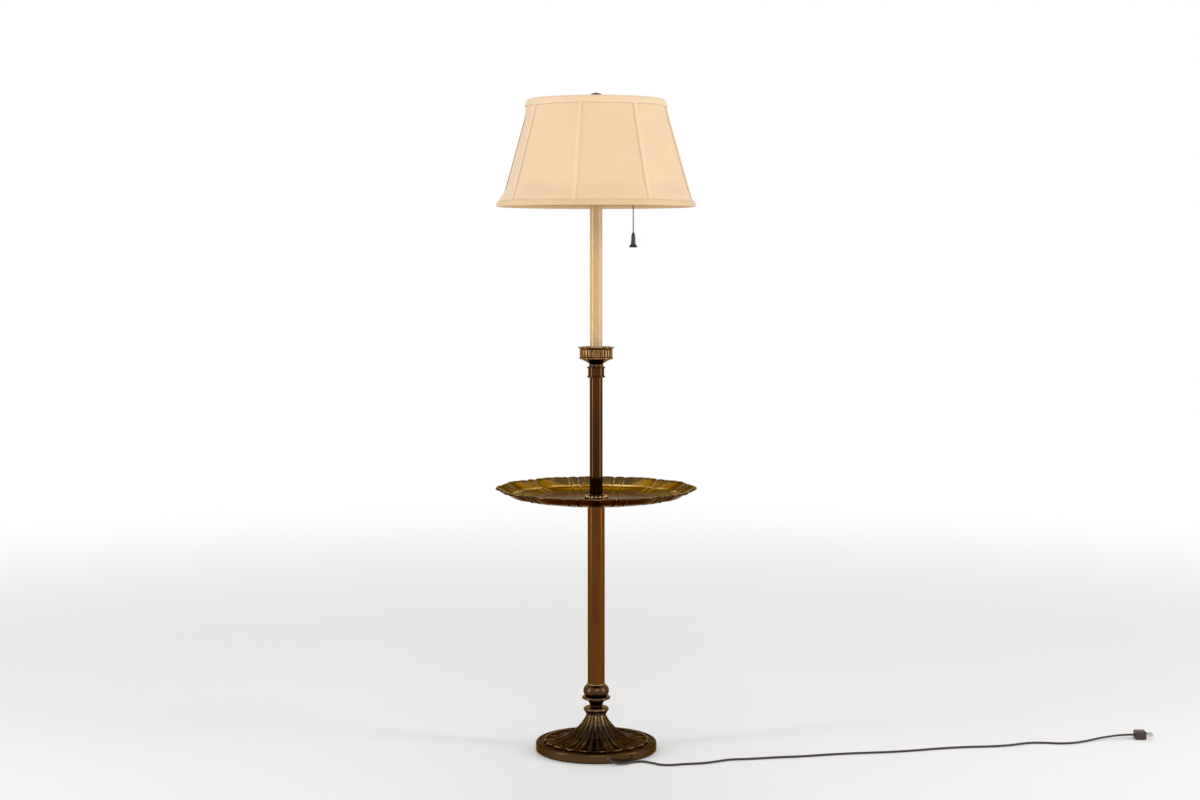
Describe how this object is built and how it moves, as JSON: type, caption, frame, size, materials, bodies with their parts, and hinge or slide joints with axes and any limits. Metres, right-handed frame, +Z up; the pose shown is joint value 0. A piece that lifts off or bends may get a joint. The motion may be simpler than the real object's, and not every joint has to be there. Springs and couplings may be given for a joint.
{
  "type": "floor lamp",
  "caption": "Tall floor lamp with a fluted round base, a lobed tray half way up the column, a candle tube and a panelled fabric shade with a bell pull.",
  "frame": {"origin": "centre of the base on the floor", "axes": "+Z up along the column, -Y to the front, +X to the right, towards the plug"},
  "size_m": [1.4849, 0.4438, 1.4472],
  "materials": {
    "felt": "matt felt",
    "base_bronze": "dark bronze patina, worn on the ridges",
    "iron": "bare casting",
    "steel": "satin",
    "grommet": "matt",
    "brass_pipe": "satin",
    "spindle_bronze": "antique bronze",
    "ball_bronze": "antique bronze",
    "tube_brass": "antique satin brass",
    "upper_brass": "antique satin brass",
    "tray_brass": "polished antique brass",
    "candle_cream": "gloss enamel",
    "socket_brass": "satin",
    "liner_card": "fibre card",
    "core_black": "phenolic",
    "bulb_metal": "screw base",
    "bulb_white": "frosted",
    "chain_brass": "antique brass",
    "bell_black": "dark, slightly glossy",
    "wire": "brass plated wire",
    "shade_fabric": "woven, warm cream",
    "lining_fabric": "smooth lining",
    "trim_fabric": "woven trim tape",
    "finial_bronze": "dark bronze",
    "cord_brown": "brown cord",
    "plug_brown": "moulded plug",
    "blade_steel": "plated"
  },
  "bodies": {
    "lamp": {"base_felt": "felt", "base_casting": "base_bronze", "base_weight": "iron", "base_washer": "steel", "base_locknut": "steel", "cord_bushing": "grommet", "lower_pipe": "brass_pipe", "upper_pipe": "brass_pipe", "pipe_coupling": "brass_pipe", "spindle": "spindle_bronze", "ball": "ball_bronze", "seat_ring": "spindle_bronze", "lower_tube": "tube_brass", "tray_flange": "spindle_bronze", "tray": "tray_brass", "tray_ring": "spindle_bronze", "upper_tube": "upper_brass", "collar": "upper_brass", "candle_cup": "tray_brass", "candle_tube": "candle_cream", "candle_cap": "candle_cream", "cluster_body": "socket_brass", "shade_riser": "chain_brass", "power_cord": "cord_brown", "inner_cord": "cord_brown", "plug_body": "plug_brown", "plug_blades": "blade_steel", "right_arm": "socket_brass", "right_socket_cap": "socket_brass", "right_socket_shell": "socket_brass", "right_socket_liner": "liner_card", "right_socket_core": "core_black", "right_screw_shell": "bulb_metal", "right_bulb_base": "bulb_metal", "right_bulb_glass": "bulb_white", "right_spout": "socket_brass", "left_arm": "socket_brass", "left_socket_cap": "socket_brass", "left_socket_shell": "socket_brass", "left_socket_liner": "liner_card", "left_socket_core": "core_black", "left_screw_shell": "bulb_metal", "left_bulb_base": "bulb_metal", "left_bulb_glass": "bulb_white", "left_spout": "socket_brass"},
    "right_pull": {"right_switch_chain": "chain_brass"},
    "right_swing": {"right_chain": "chain_brass", "bell_pull": "bell_black"},
    "left_pull": {"left_switch_chain": "chain_brass"},
    "left_swing": {"left_chain": "chain_brass"},
    "finial": {"finial": "finial_bronze"},
    "shade": {"shade_spider": "wire", "shade_bottom_ring": "wire", "shade_ribs": "wire", "shade_cover": "shade_fabric", "shade_lining": "lining_fabric", "bottom_trim": "trim_fabric", "top_trim": "trim_fabric", "rib_trims": "trim_fabric"}
  },
  "joints": [
    {"name": "right_pull", "type": "slide", "parent": "lamp", "child": "right_pull", "axis": [0, 0, -1], "range_m": [0, 0.008], "stiffness_N_per_m": 1500},
    {"name": "right_swing", "type": "hinge", "parent": "right_pull", "child": "right_swing", "pos_m": [0.081, 0, 1.23923], "axis": [0, 1, 0], "range_deg": [-20, 20]},
    {"name": "left_pull", "type": "slide", "parent": "lamp", "child": "left_pull", "axis": [0, 0, -1], "range_m": [0, 0.008], "stiffness_N_per_m": 1500},
    {"name": "left_swing", "type": "hinge", "parent": "left_pull", "child": "left_swing", "pos_m": [-0.081, 0, 1.23923], "axis": [0, 1, 0], "range_deg": [-20, 20]},
    {"name": "shade_turn", "type": "hinge", "parent": "lamp", "child": "shade", "pos_m": [0, 0, 1.41883], "axis": [0, 0, 1], "continuous": true},
    {"name": "finial_turn", "type": "hinge", "parent": "lamp", "child": "finial", "pos_m": [0, 0, 1.42073], "axis": [0, 0, 1], "continuous": true}
  ]
}
